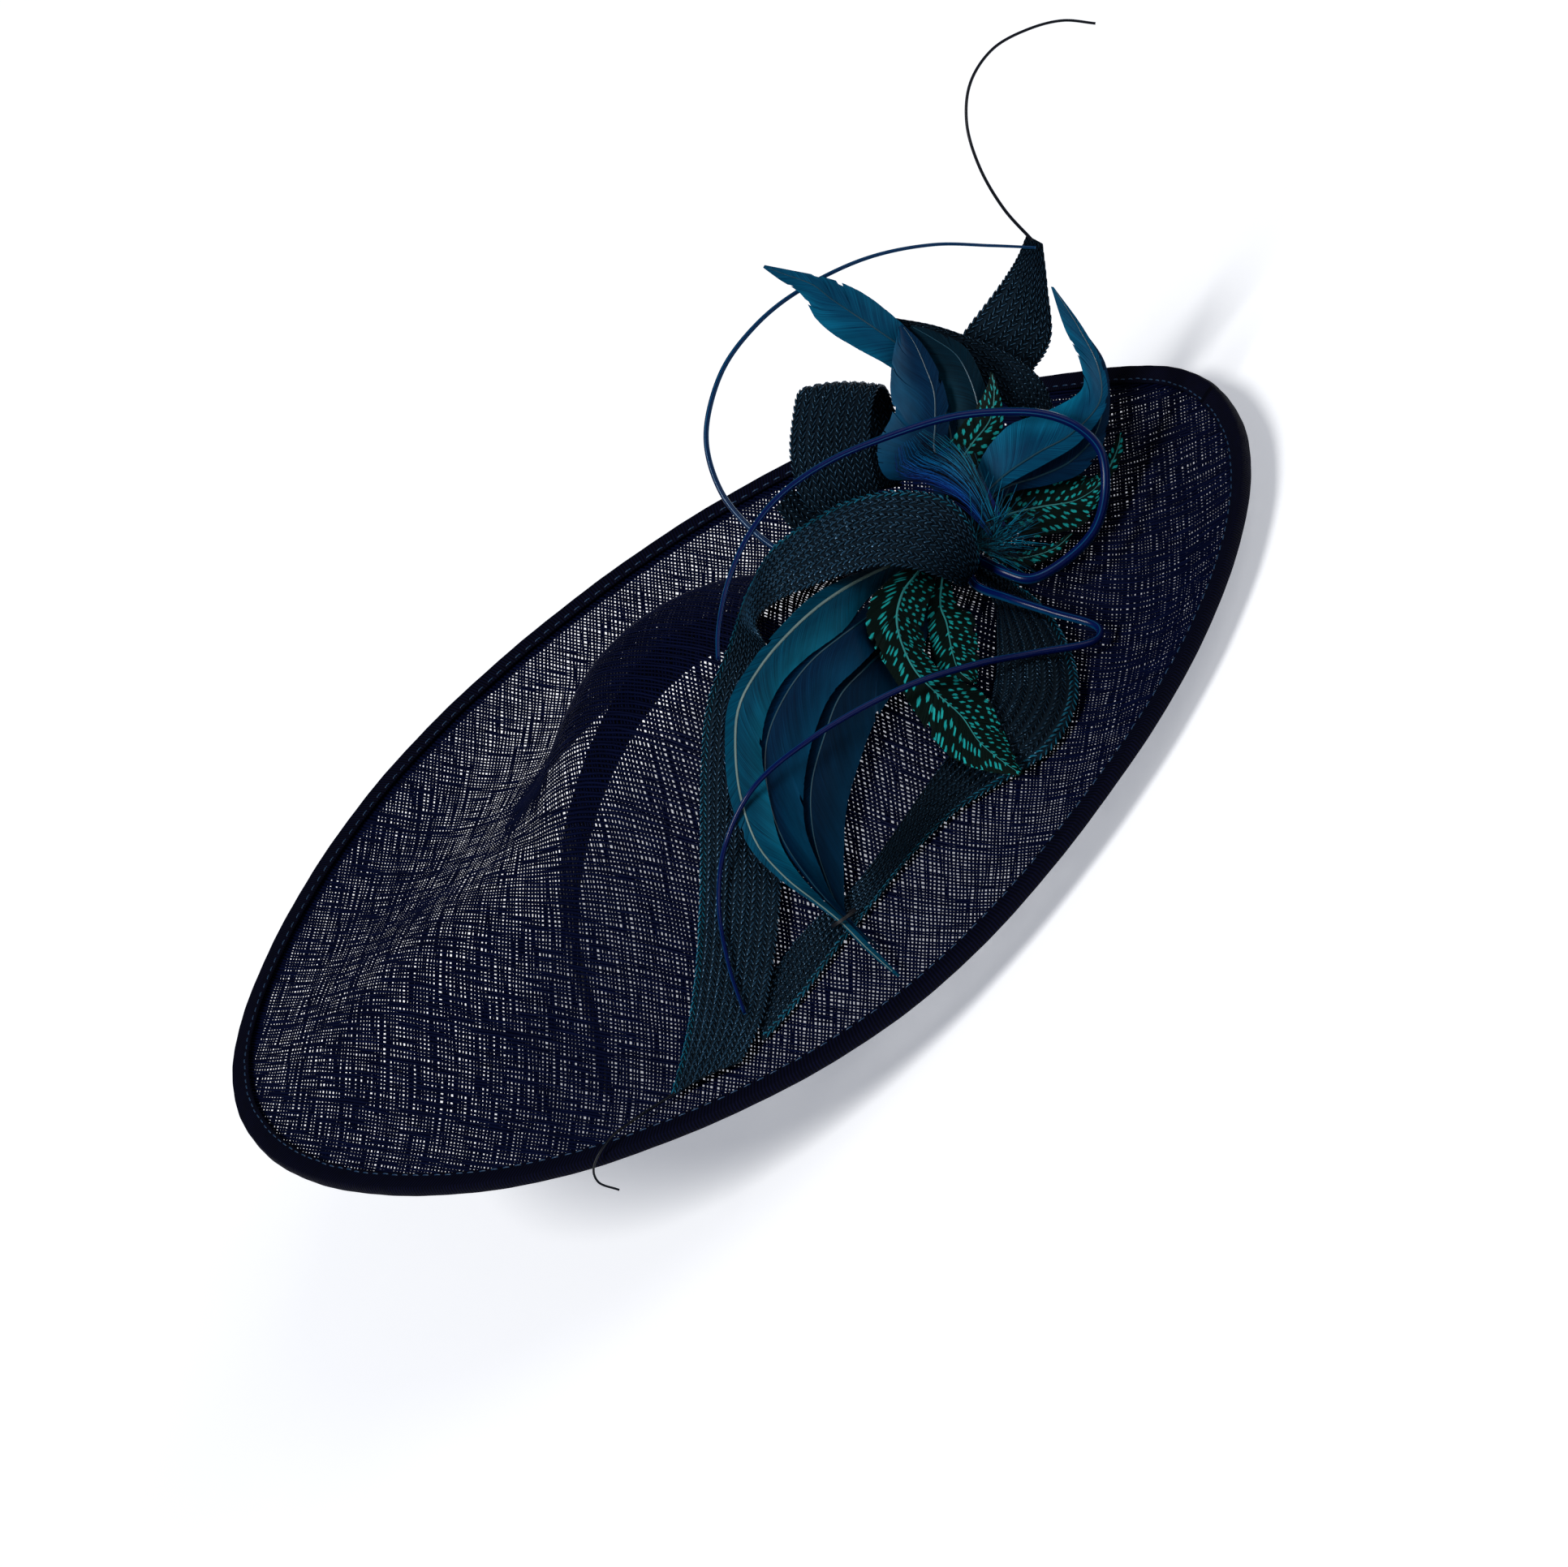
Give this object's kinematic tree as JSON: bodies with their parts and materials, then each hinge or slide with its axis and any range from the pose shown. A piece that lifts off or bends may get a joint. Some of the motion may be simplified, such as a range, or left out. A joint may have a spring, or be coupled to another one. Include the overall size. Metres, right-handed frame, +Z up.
{
  "type": "ascot hat",
  "caption": "Wide oval saucer hat of open woven straw cloth with a low crown, bound rim, headband, and side trim of looped plaited straw, feathers and bare quills",
  "frame": {"origin": "centre of the bounding box, at the surface that the hat stands on", "axes": "+Z up from the surface, +X along the long way of the brim towards the trim, -Y towards the front"},
  "size_m": [0.5104, 0.387, 0.1582],
  "materials": {
    "straw_cloth": "open weave, matt",
    "ribbon": "ribbed, matt",
    "satin": "satin",
    "felt": "matt",
    "plaited_straw": "satin",
    "goose_feather": "satin",
    "guinea_feather": "satin",
    "barbs": "satin",
    "stripped_quill": "gloss",
    "thread": "matt"
  },
  "bodies": {
    "root": {"crown_and_brim": "straw_cloth", "brim_binding": "ribbon", "headband": "satin", "trim_pad": "felt", "straw_front_loop": "plaited_straw", "straw_right_loop": "plaited_straw", "straw_upright_loop": "plaited_straw", "straw_short_end": "plaited_straw", "straw_pointed_end": "plaited_straw", "straw_back_loop": "plaited_straw", "goose_tall": "goose_feather", "goose_back_left": "goose_feather", "goose_back_right": "goose_feather", "goose_right_front": "goose_feather", "goose_right_back": "goose_feather", "goose_lower_first": "goose_feather", "goose_lower_second": "goose_feather", "goose_lower_third": "goose_feather", "lower_tie": "thread", "guinea_lower_left": "guinea_feather", "guinea_lower_right": "guinea_feather", "guinea_right": "guinea_feather", "guinea_right_low": "guinea_feather", "guinea_top": "guinea_feather", "guinea_tip": "guinea_feather", "peacock_tuft": "barbs", "quill_a": "stripped_quill", "quill_b": "stripped_quill", "quill_c": "stripped_quill", "quill_d": "stripped_quill", "filament": "stripped_quill"}
  },
  "joints": []
}
